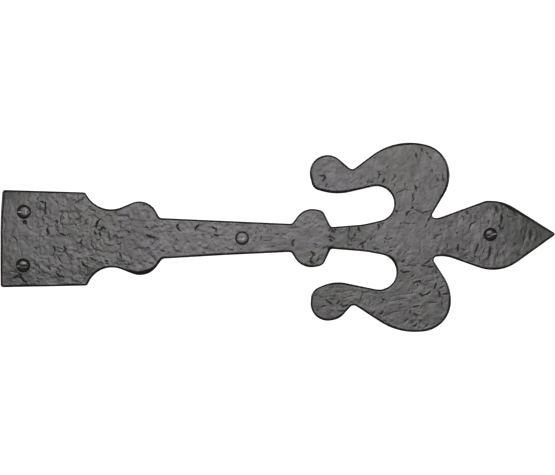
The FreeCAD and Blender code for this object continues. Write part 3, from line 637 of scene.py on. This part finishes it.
def dullness(points):
    """How dull the paint is at each point, from 0 to about 1."""
    return sum(amount * hill(points, x, z, long, high) for x, z, long, high, amount in DULL)


# -------------------- mesh of the strap

def circle(radius, count, x=0.0, z=0.0):
    """Evenly spaced points of a circle."""
    turns = np.arange(count) * 2 * math.pi / count
    return np.stack([x + radius * np.cos(turns), z + radius * np.sin(turns)], axis=1)


def hex_grid(step):
    """Points of a triangular grid over the plate's box."""
    rows = int((PLATE_HIGH[2] - PLATE_LOW[2]) / (step * ROW_SHARE))
    columns = int((PLATE_HIGH[0] - PLATE_LOW[0]) / step)
    j, i = np.mgrid[0:rows, 0:columns]
    x = PLATE_LOW[0] + (i + 0.5 * (j % 2)) * step
    z = PLATE_LOW[2] + j * step * ROW_SHARE
    return np.stack([x.ravel(), z.ravel()], axis=1)


def crease_points():
    """Extra points along each crease, so that its flanks are sharp."""
    points = []
    for (_, flank), chain in CREASES:
        for start, span in zip(chain, np.diff(chain, axis=0)):
            length = np.hypot(*span)
            across = np.array([-span[1], span[0]]) / length
            count = max(2, int(length / MARK_STEP) + 1)
            for share in np.linspace(0.0, 1.0, count):
                middle = start + share * span
                points += [middle + across * side * flank for side in MARK_SIDES]
    return np.array(points)


def thinned(points, gap, kept):
    """The points that are at least a gap from each other and from those already kept."""
    cells = {}
    chosen = []
    for number, (x, z) in enumerate(np.vstack([kept, points])):
        column, row = int(x // gap), int(z // gap)
        around = [(column + a, row + b) for a in (-1, 0, 1) for b in (-1, 0, 1)]
        others = [other for cell in around for other in cells.get(cell, ())]
        crowded = any((x - a) ** 2 + (z - b) ** 2 < gap * gap for a, b in others)
        if number < len(kept) or not crowded:
            cells.setdefault((column, row), []).append((x, z))
            chosen.append((x, z))
    return np.array(chosen[len(kept):])


def loop_edges(start, count):
    return [(start + i, start + (i + 1) % count) for i in range(count)]


def triangles(points, loops):
    """Triangles of a flat area between its border loops, which are runs of its first points."""
    edges = [edge for start, count in loops for edge in loop_edges(start, count)]
    inside_only = 1
    result = delaunay_2d_cdt([Vector(p) for p in points], edges, [], inside_only, 1e-5)
    places, faces, sources = result[0], result[2], result[3]
    assert len(places) == len(points), "two points of the area coincide"
    owner = np.full(len(points), -1)
    for number, (start, count) in enumerate(loops[1:]):
        owner[start:start + count] = number
    kept = []
    for face in faces:
        a, b, c = (sources[i][0] for i in face)
        # A triangle whose corners are all on one round hole covers that hole.
        if owner[a] < 0 or not owner[a] == owner[b] == owner[c]:
            kept.append((a, b, c))
    return kept


def strip(first, second, count):
    """Quads between two loops of the same number of points."""
    pairs = zip(loop_edges(first, count), loop_edges(second, count))
    return [(a, b, d, c) for (a, b), (c, d) in pairs]


def raised(points, depth):
    """Points (x, z) with their depth put between, as vertices."""
    return np.insert(points, 1, depth, axis=1)


def clear(points, margin, screw_margin):
    """The points that lie well inside the outline and away from the screws."""
    chosen = border.distance(points) > margin
    for centre in SCREW_CENTRES.values():
        chosen &= distance_to(points, centre) > screw_margin
    return points[chosen]


def rim_and_sink_rings():
    """Rings of points inside the outline and around each screw hole."""
    rings = []
    for depth in RIM_RINGS:
        ring = border.loop + border.normals * depth
        rings.append(ring[border.distance(ring) > depth * 0.93])
    for x, z in SCREW_CENTRES.values():
        rings += [circle(radius, SINK_SIDES, x, z) for radius in SINK_RINGS]
    return np.vstack(rings)


def face_points(borders):
    """All points of the beaten face: its borders, then rings, creases and the even net."""
    ringed = thinned(rim_and_sink_rings(), RING_GAP, borders)
    creased = clear(crease_points(), MARK_MARGIN, SCREW_MARGIN)
    creased = thinned(creased, MARK_GAP, np.vstack([borders, ringed]))
    filled = thinned(clear(hex_grid(GRID_STEP), GRID_MARGIN, SCREW_MARGIN), GRID_GAP, creased)
    return np.vstack([borders, ringed, creased, filled])


def wall_rows(top, outer):
    """Rows of vertices from a loop on the front straight back to the flat back."""
    rows = []
    for share in WALL_SHARES:
        row = top.copy()
        row[:, 1] = top[:, 1] * (1 - share)
        if outer and share < 1.0:
            places = np.stack([top[:, 0] * 2, top[:, 2] * 2 + share * 9], axis=1)
            lean = WALL_WAVER * (1 + smooth_noise(places, 2.0, 21))
            row[:, 0] += border.normals[:, 0] * lean
            row[:, 2] += border.normals[:, 1] * lean
        rows.append(row)
    return rows


def closed_back(vertices, feet):
    """The vertices with a coarse net on the flat back, and the faces between the walls' feet."""
    coarse = clear(hex_grid(BACK_STEP), BACK_MARGIN, BACK_SCREW_MARGIN)
    foot_index = np.concatenate([np.arange(start, start + number) for start, number in feet])
    points = np.vstack([vertices[foot_index][:, [0, 2]], coarse])
    index = np.concatenate([foot_index, len(vertices) + np.arange(len(coarse))]).tolist()
    loops = []
    for _, number in feet:
        loops.append((sum(count for _, count in loops), number))
    faces = [(index[a], index[c], index[b]) for a, b, c in triangles(points, loops)]
    return np.vstack([vertices, raised(coarse, 0.0)]), faces


def build_plate():
    """The whole strap as one closed skin, and how much of a crease each of its vertices is."""
    holes = [circle(HOLE_RADIUS, HOLE_SIDES, x, z) for x, z in SCREW_CENTRES.values()]
    count = len(border.loop)
    loops = [(0, count)] + [(count + i * HOLE_SIDES, HOLE_SIDES) for i in range(len(holes))]
    points = face_points(np.vstack([border.loop] + holes))
    from_edge = np.maximum(border.distance(points), 0.0)
    from_edge[:count] = 0.0
    relief, crease = beaten_depth(points, from_edge)
    relief = with_sinks(with_rim(relief, points, from_edge), points)
    front = raised(points, relief - THICKNESS)
    faces = triangles(points, loops)
    rows = [front]
    feet = []
    next_index = len(front)
    for start, number in loops:
        previous = start
        for row in wall_rows(front[start:start + number], start == 0):
            rows.append(row)
            faces += strip(previous, next_index, number)
            previous = next_index
            next_index += number
        feet.append((previous, number))
    vertices, back_faces = closed_back(np.vstack(rows), feet)
    mask = np.zeros(len(vertices))
    mask[:len(crease)] = crease
    return vertices, faces + back_faces, mask


def added(name, data):
    """A new object in the scene."""
    thing = bpy.data.objects.new(name, data)
    bpy.context.scene.collection.objects.link(thing)
    return thing


def mesh_object(name, vertices, faces, masks, sharp, merge=False):
    """A smooth-shaded object from vertices in millimetres, with masks that its paint reads."""
    mesh = bpy.data.meshes.new(name)
    mesh.from_pydata((vertices * MM).tolist(), [], faces)
    for mask, values in masks.items():
        layer = mesh.attributes.new(mask, "FLOAT", "POINT")
        layer.data.foreach_set("value", values.astype(np.float32))
    bm = bmesh.new()
    bm.from_mesh(mesh)
    if merge:
        bmesh.ops.remove_doubles(bm, verts=bm.verts, dist=2e-7)
        bmesh.ops.dissolve_degenerate(bm, edges=bm.edges, dist=1e-7)
    bmesh.ops.recalc_face_normals(bm, faces=bm.faces)
    bm.to_mesh(mesh)
    bm.free()
    mesh.shade_smooth()
    mesh.set_sharp_from_angle(angle=math.radians(sharp))
    return added(name, mesh)


border = Border(eased_loop(even_loop(turned_left(back_outline(PLATE)), OUTLINE_STEP), OUTLINE_PASSES))
plate_vertices, plate_faces, plate_crease = build_plate()
plate_masks = {"crease": plate_crease, "dull": dullness(plate_vertices[:, [0, 2]])}
plate = mesh_object("strap", plate_vertices, plate_faces, plate_masks, PLATE_SHARP)
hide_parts(PLATE)
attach(plate, "root")


# -------------------- wood screws

CLOG_RISE = 0.05
FLOOR_LEAN = 0.45
# Depths (Y) of a head's rim where it meets the cone, of the crown's edge and of the slot's floor.
RIM_FOOT = -3.38
RIM_TOP = -3.62
SLOT_FLOOR = -3.42
SLOT_HALF = 0.60
SLOT_EASE = 0.16
BATTER_WIDTH = 0.28
BATTER_HEIGHT = 0.10
# Points of a head: rings inside its rim, rows beside its slot, and a net.
RIM_COUNT = 64
HEAD_RINGS = (0.03, 0.11, 0.25)
SLOT_ROWS = (0.25, 0.46, 0.54, 0.60, 0.66, 0.74, 0.86, 1.05)
SLOT_ROW_STEP = 0.16
HEAD_STEP = 0.26
HEAD_SPAN = 4.0
# The shank, the thread and the point, with depths from the flat back.
CONE_MIDDLE = 3.4
SHANK_RADIUS = 2.4
SHANK_MIDDLE = 4.0
SHANK_END = 9.4
CORE_RADIUS = 1.75
CREST_RADIUS = 2.35
CREST_HALF = 0.34
RUN_IN = 1.6
RUN_OUT = 0.6
THREAD_PITCH = 1.95
THREAD_STEPS = 12
TAPER_START = 22.6
POINT_END = 29.85
POINT_RADIUS = 0.12
POINT_LENGTH = 0.1
SCREW_SHARP = 50.0


def slot_window(points, span, run_in):
    """1 between two places along the slot, and 0 beyond a short run at each end."""
    first, last = span
    return within((points[:, 0] - first) / run_in) * within((last - points[:, 0]) / 0.4)


def crown_height(points, screw, seed):
    """Height of the crown as if it had no slot."""
    shift_along, shift_across, rise = screw["crown"]
    rim_radius = screw["head"]
    # The top of the crown is off the middle, and the rim stays where it is.
    share = within(1 - (np.hypot(*points.T) / rim_radius) ** 2)
    off_middle = points - np.array([shift_along, shift_across]) * share[:, None]
    reach = np.minimum(np.hypot(*off_middle.T) / rim_radius, 1.0)
    crown = RIM_TOP - rise * (0.30 * (1 - reach ** 2) + 0.70 * (1 - reach ** 5))
    return crown + 0.03 * smooth_noise(points * 1.3 + 30, 2.2, seed)


def head_height(points, screw, seed):
    """Height of the slotted crown at points (u along the slot, v across it), and how worn it is, with its
    painted highlights.
    """
    crown = crown_height(points, screw, seed)
    lip = np.abs(points[:, 1]) - SLOT_HALF
    share = eased(within(0.5 + lip / SLOT_EASE))
    floor = SLOT_FLOOR + 0.04 * smooth_noise(points + 50, 1.0, seed + 1)
    if "leaning" in screw:
        floor += FLOOR_LEAN * slot_window(points, screw["leaning"], 0.4) * points[:, 1]
    if "clogged" in screw:
        floor += (crown + CLOG_RISE - floor) * slot_window(points, screw["clogged"], 0.5)
    height = np.maximum(crown, floor) * (1 - share) + crown * share
    # The lip is battered by screwdrivers.
    battered = np.exp(-(np.maximum(lip, 0.0) / BATTER_WIDTH) ** 2) * share
    height += BATTER_HEIGHT * battered * (0.6 + 0.4 * smooth_noise(points + 70, 0.8, seed + 2))
    wear_and_highlight = 0.25 * battered * within(1.2 - np.hypot(*points.T) / 4.6)
    # Besides the battered lip, the listed spots paint highlights of the crown and the slot's floor as
    # bright steel.
    for along, across, long, wide, amount in screw["rubbed_and_highlit"]:
        wear_and_highlight += amount * hill(points, along, across, long, wide)
    return height, within(wear_and_highlight)


def screw_head(screw, seed):
    """Crown, slot and rim of a screw, in its own axes (u, depth, v)."""
    rim_radius = screw["head"]
    rings = [circle(rim_radius - inset, RIM_COUNT) for inset in (0.0, *HEAD_RINGS)]
    along = np.arange(-HEAD_SPAN - 0.05, HEAD_SPAN + 0.06, SLOT_ROW_STEP)
    sides = [side for across in SLOT_ROWS for side in (across, -across)]
    rows = np.vstack([np.stack([along, np.full(len(along), side)], axis=1) for side in sides])
    rows = rows[np.hypot(*rows.T) < rim_radius - 0.37]
    places = slice(-HEAD_SPAN, HEAD_SPAN + 0.01, HEAD_STEP)
    grid = np.stack(np.mgrid[places, places], axis=-1).reshape(-1, 2)
    grid = grid[np.hypot(*grid.T) < rim_radius - 0.4]
    fixed = np.vstack(rings + [rows])
    points = np.vstack([fixed, thinned(grid, 0.2, fixed)])
    height, wear_and_highlight = head_height(points, screw, seed)
    height[:RIM_COUNT] = RIM_FOOT
    return raised(points, height), triangles(points, [(0, RIM_COUNT)]), wear_and_highlight


def thread_radius(depth, phase):
    """Radius of the threaded part: a sharp crest on a core that tapers to the point."""
    run_in = within((depth - SHANK_END) / RUN_IN)
    core = SHANK_RADIUS + (CORE_RADIUS - SHANK_RADIUS) * run_in
    taper = within((POINT_END - depth) / (POINT_END - TAPER_START))
    core = POINT_RADIUS + (core - POINT_RADIUS) * taper
    crest = POINT_RADIUS + (CREST_RADIUS - POINT_RADIUS) * within(1.25 * taper)
    from_crest = np.abs((phase + 0.5) % 1.0 - 0.5)
    ridge = within(1 - from_crest / CREST_HALF) ** 1.2
    fade = np.minimum(run_in, within((POINT_END - depth) / RUN_OUT))
    return core + np.maximum(crest - core, 0.0) * ridge * fade


def plain_shank(rim_radius):
    """Rings of the cone under the head and of the plain shank, and the faces between them."""
    cone_foot = RIM_FOOT + rim_radius - SHANK_RADIUS
    profile = [
        (rim_radius, RIM_FOOT),
        (CONE_MIDDLE, RIM_FOOT + rim_radius - CONE_MIDDLE),
        (SHANK_RADIUS + 0.12, cone_foot - 0.12),
        (SHANK_RADIUS, cone_foot + 0.15),
        (SHANK_RADIUS, SHANK_MIDDLE),
        (SHANK_RADIUS, SHANK_END),
    ]
    rings = [raised(circle(radius, RIM_COUNT), depth) for radius, depth in profile]
    faces = []
    for row in range(len(profile) - 1):
        faces += strip(row * RIM_COUNT, (row + 1) * RIM_COUNT, RIM_COUNT)
    return np.vstack(rings), faces


def thread(start):
    """Columns of the helical thread, each a little further round and along, and their faces."""
    total = int(math.ceil((POINT_END - SHANK_END) / THREAD_PITCH * THREAD_STEPS)) + 2 * THREAD_STEPS
    j = np.arange(total)
    columns = []
    faces = []
    for i in range(RIM_COUNT):
        turn = i * 2 * math.pi / RIM_COUNT
        depth = SHANK_END + THREAD_PITCH * (j / THREAD_STEPS - 1 + i / RIM_COUNT)
        depth = np.clip(depth, SHANK_END, POINT_END)
        radius = thread_radius(depth, j / THREAD_STEPS)
        columns.append(np.stack([radius * math.cos(turn), depth, radius * math.sin(turn)], axis=1))
        onward = (i + 1) % RIM_COUNT
        shift = THREAD_STEPS if onward == 0 else 0
        for k in range(total - 1 - shift):
            a, b = start + i * total + k, start + onward * total + k + shift
            faces.append((a, b, b + 1, a + 1))
    return np.vstack(columns), faces


def point_fan(vertices):
    """Faces from the last ring of the thread to the tip, which is the vertex after the others."""
    ring = {}
    for i in np.nonzero(vertices[:, 1] > POINT_END - 1e-6)[0].tolist():
        turn = math.degrees(math.atan2(vertices[i, 2], vertices[i, 0])) % 360
        ring[round(turn, 2)] = i
    order = [ring[turn] for turn in sorted(ring)]
    return [(order[i], order[(i + 1) % len(order)], len(vertices)) for i in range(len(order))]


def build_screw(name, seed):
    """One wood screw as a closed mesh, turned to its slot angle and put in its hole."""
    screw = SCREWS[name]
    head, faces, wear_and_highlight = screw_head(screw, seed)
    shank, shank_faces = plain_shank(screw["head"])
    threaded, thread_faces = thread(len(shank))
    faces += [tuple(i + len(head) for i in face) for face in shank_faces + thread_faces]
    local = np.vstack([head, shank, threaded])
    faces += point_fan(local)
    local = np.vstack([local, [(0.0, POINT_END + POINT_LENGTH, 0.0)]])
    x, z = SCREW_CENTRES[name]
    turn = math.radians(screw["turn"])
    placed = local.copy()
    placed[:, 0] = x + local[:, 0] * math.cos(turn) - local[:, 2] * math.sin(turn)
    placed[:, 2] = z + local[:, 0] * math.sin(turn) + local[:, 2] * math.cos(turn)
    wear_and_highlight = np.concatenate([wear_and_highlight, np.zeros(len(placed) - len(wear_and_highlight))])
    piece = mesh_object("wood_" + name, placed, faces, {"wear_and_highlight": wear_and_highlight}, SCREW_SHARP, merge=True)
    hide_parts(name)
    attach(piece, "root")
    return piece


screws = [build_screw(name, 40 + 5 * i) for i, name in enumerate(SCREWS)]


# -------------------- paint

COAL = (0.011, 0.0107, 0.011)
COAL_LIGHT = (0.016, 0.0155, 0.016)
GREY_SPECK = (0.026, 0.025, 0.027)
GREEN_TINT = (0.014, 0.019, 0.009)
VIOLET_BLOOM = (0.022, 0.013, 0.026)
# Painted shade laid into the creases and pits of the face.
CREASE_PAINTED_SHADE = (0.003, 0.003, 0.003)
JAPAN = (0.010, 0.010, 0.011)
JAPAN_LIGHT = (0.018, 0.017, 0.016)
# Bare steel of the scuffed slot lips, also the colour of the painted highlights on the screw heads.
STEEL_AND_HIGHLIGHT = (0.30, 0.27, 0.24)
PAINT_IOR = 1.5


class Paint:
    """A material being built: shader sockets plus the textures that feed them."""

    def __init__(self, name):
        self.material = bpy.data.materials.new(name)
        self.material.use_nodes = True
        self.nodes = self.material.node_tree.nodes
        self.links = self.material.node_tree.links
        self.shader = self.nodes["Principled BSDF"]
        self.place = self.nodes.new("ShaderNodeTexCoord").outputs["Object"]

    def feed(self, socket, value):
        """A plain number, or the output of another node, into a socket."""
        if isinstance(value, float):
            socket.default_value = value
        else:
            self.links.new(value, socket)

    def node(self, kind, output, **inputs):
        """The output of a new node whose named inputs are fed."""
        node = self.nodes.new(kind)
        for socket, value in inputs.items():
            self.feed(node.inputs[socket.replace("_", " ")], value)
        return node.outputs[output]

    def noise(self, scale, detail=3.0, roughness=0.55):
        return self.node(
            "ShaderNodeTexNoise", "Fac", Vector=self.place, Scale=scale, Detail=detail, Roughness=roughness,
        )

    def remap(self, value, low, high, to_low=0.0, to_high=1.0):
        spans = {"From_Min": low, "From_Max": high, "To_Min": to_low, "To_Max": to_high}
        return self.node("ShaderNodeMapRange", "Result", Value=value, **spans)

    def patches(self, low, high, *noise):
        """Soft-edged patches, from 0 to 1, where a noise rises from low to high."""
        return self.remap(self.noise(*noise), low, high)

    def attribute(self, name):
        node = self.nodes.new("ShaderNodeAttribute")
        node.attribute_name = name
        return node.outputs["Fac"]

    def combine(self, operation, first, second):
        node = self.nodes.new("ShaderNodeMath")
        node.operation = operation
        self.feed(node.inputs[0], first)
        self.feed(node.inputs[1], second)
        return node.outputs["Value"]

    def colour_between(self, share, first, second):
        """A colour between two, each a plain RGB or the output of another node."""
        node = self.nodes.new("ShaderNodeMix")
        node.data_type = "RGBA"
        self.links.new(share, node.inputs["Factor"])
        for socket, colour in ((node.inputs[6], first), (node.inputs[7], second)):
            if isinstance(colour, tuple):
                socket.default_value = (*colour, 1.0)
            else:
                self.links.new(colour, socket)
        return node.outputs[2]

    def tinted(self, coat, mask, amount, colour):
        """A coat with some of another colour where a mask is."""
        return self.colour_between(self.combine("MULTIPLY", mask, amount), coat, colour)

    def bump(self, height, distance, strength, **before):
        return self.node(
            "ShaderNodeBump", "Normal", Distance=distance, Strength=strength, Height=height, **before,
        )

    def into(self, socket, value):
        self.feed(self.shader.inputs[socket], value)


def black_iron():
    """Thick satin black paint over a rough casting, with painted shade in its creases and pits."""
    paint = Paint("black_cast_iron_paint")
    coat = paint.colour_between(paint.patches(0.35, 0.65, 45.0, 4.0), COAL, COAL_LIGHT)
    coat = paint.tinted(coat, paint.patches(0.40, 0.72, 700.0, 2.0, 0.6), 0.45, GREY_SPECK)
    coat = paint.tinted(coat, paint.patches(0.42, 0.60, 22.0, 3.0, 0.6), 0.85, GREEN_TINT)
    coat = paint.tinted(coat, paint.patches(0.52, 0.68, 90.0, 3.0, 0.6), 0.7, VIOLET_BLOOM)
    # Creases and pits are darkened in the base colour: painted shade of the hollows.
    hollow = paint.combine("MINIMUM", paint.attribute("crease"), 1.0)
    paint.into("Base Color", paint.tinted(coat, hollow, 0.75, CREASE_PAINTED_SHADE))
    gloss = paint.remap(paint.noise(160.0, 4.0), 0.30, 0.70, 0.33, 0.43)
    gloss = paint.combine("ADD", gloss, paint.combine("MULTIPLY", hollow, 0.15))
    dull = paint.combine("MULTIPLY", paint.attribute("dull"), 0.07)
    paint.into("Roughness", paint.combine("ADD", gloss, dull))
    rough_cast = paint.bump(paint.noise(420.0, 3.0, 0.6), 0.00022, 0.42)
    paint.into("Normal", paint.bump(paint.noise(1500.0, 2.0, 0.5), 0.00006, 0.6, Normal=rough_cast))
    paint.into("IOR", PAINT_IOR)
    return paint.material


def black_screw():
    """Japanned steel: black, a little brighter where a screwdriver has scuffed it, and with painted
    highlights on the crown and in the slot.
    """
    paint = Paint("black_screw_japan")
    coat = paint.colour_between(paint.patches(0.35, 0.65, 260.0, 3.0), JAPAN, JAPAN_LIGHT)
    scuff = paint.patches(0.42, 0.62, 900.0, 3.0, 0.7)
    # The mask brightens the scuffed lips and paints highlights on the crown and the slot's floor.
    rubbed_and_highlit = paint.combine("MULTIPLY", paint.attribute("wear_and_highlight"), scuff)
    paint.into("Base Color", paint.colour_between(rubbed_and_highlit, coat, STEEL_AND_HIGHLIGHT))
    paint.into("Metallic", paint.combine("MULTIPLY", rubbed_and_highlit, 0.6))
    paint.into("Roughness", paint.remap(paint.noise(420.0, 3.0), 0.30, 0.70, 0.28, 0.42))
    paint.into("Normal", paint.bump(paint.noise(1300.0, 2.0, 0.5), 0.00005, 0.5))
    paint.into("IOR", PAINT_IOR)
    return paint.material


plate.data.materials.append(black_iron())
screw_paint = black_screw()
for screw in screws:
    screw.data.materials.append(screw_paint)


# -------------------- stage, light and camera

# From here on, lengths are in metres.
# Depth of the widest outline behind the face: the picture's width is measured there.
OUTLINE_DEPTH = -0.0022
CAMERA_DISTANCE = 1.2
FRAME_WIDTH = 0.40595
FRAME_CENTRE = (0.20284, 0.00051)
SENSOR = 36.0
CLIP_NEAR = 0.05
CLIP_FAR = 20.0
WARM_WHITE = (1.0, 0.965, 0.985)
WHITE = (1.0, 1.0, 1.0, 1.0)
PAPER = (0.80, 0.80, 0.80)
PAPER_LIGHT = (0.84, 0.84, 0.84)
ROOM_GLOW = (0.02, 0.02, 0.02, 1.0)
# The paper bowl: its level floor, the bend around it, and the wall's top.
FLOOR_HEIGHT = -0.42
FLOOR_REACH = 2.4
BEND = 0.6
BEND_STEPS = 12
BOWL_SIDES = 64
WALL_TOP = 3.0
# Softboxes: (name, place, size, power in watts).
SOFTBOXES = [
    ("key_softbox", (0.13, -2.0, 0.28), (1.35, 0.95), 31.8),
    ("top_strip", (0.10, -1.95, 0.56), (1.3, 0.34), 6.0),
    ("back_softbox", (0.2, 2.0, 0.25), (1.35, 0.95), 30.0),
    ("left_rear", (-1.4, 1.2, 0.6), (0.9, 0.9), 10.0),
    ("right_rear", (1.8, 1.2, 0.6), (0.9, 0.9), 10.0),
]


def white_paper():
    """Seamless studio paper, lit evenly enough to be pure white."""
    paper = Paint("white_paper")
    paper.into("Base Color", paper.colour_between(paper.noise(3.0), PAPER, PAPER_LIGHT))
    paper.into("Roughness", 0.9)
    paper.shader.inputs["Emission Color"].default_value = WHITE
    paper.into("Emission Strength", 1.1)
    return paper.material


def build_stage():
    """A round paper bowl below and all about the hinge: a level floor that curves up into a wall."""
    profile = []
    for i in range(BEND_STEPS + 1):
        turn = i / BEND_STEPS * math.pi / 2
        profile.append((FLOOR_REACH + BEND * math.sin(turn), FLOOR_HEIGHT + BEND * (1 - math.cos(turn))))
    profile.append((FLOOR_REACH + BEND, WALL_TOP))
    vertices = []
    faces = [tuple(range(BOWL_SIDES))]
    for row, (reach, height) in enumerate(profile):
        vertices += [(x, y, height) for x, y in circle(reach, BOWL_SIDES, FRAME_CENTRE[0])]
        if row:
            faces += strip((row - 1) * BOWL_SIDES, row * BOWL_SIDES, BOWL_SIDES)
    mesh = bpy.data.meshes.new("paper_bowl")
    mesh.from_pydata(vertices, [], faces)
    mesh.shade_smooth()
    mesh.materials.append(white_paper())
    bowl = added("paper_bowl", mesh)
    # The paper is only a background: the hinge is lit by the lamps alone.
    bowl.visible_glossy = False
    bowl.visible_diffuse = False
    bowl.visible_shadow = False


def soft_light(name, place, size, power):
    """A rectangular softbox that looks at the middle of the hinge."""
    data = bpy.data.lights.new(name, "AREA")
    data.shape = "RECTANGLE"
    data.size, data.size_y = size
    data.energy = power
    data.color = WARM_WHITE
    lamp = added(name, data)
    lamp.location = place
    toward = Vector((FRAME_CENTRE[0], 0.0, FRAME_CENTRE[1])) - Vector(place)
    lamp.rotation_euler = toward.to_track_quat("-Z", "Y").to_euler()
    lamp.visible_camera = False


def build_camera():
    data = bpy.data.cameras.new("camera")
    data.sensor_width = SENSOR
    data.lens = SENSOR * CAMERA_DISTANCE / FRAME_WIDTH
    data.clip_start = CLIP_NEAR
    data.clip_end = CLIP_FAR
    camera = added("camera", data)
    camera.location = (FRAME_CENTRE[0], OUTLINE_DEPTH - CAMERA_DISTANCE, FRAME_CENTRE[1])
    camera.rotation_euler = (math.radians(90), 0.0, 0.0)
    bpy.context.scene.camera = camera


build_stage()
build_camera()
for softbox in SOFTBOXES:
    soft_light(*softbox)
world = bpy.data.worlds.new("studio")
world.use_nodes = True
world.node_tree.nodes["Background"].inputs["Color"].default_value = ROOM_GLOW
bpy.context.scene.world = world
bpy.context.scene.view_settings.view_transform = "Standard"
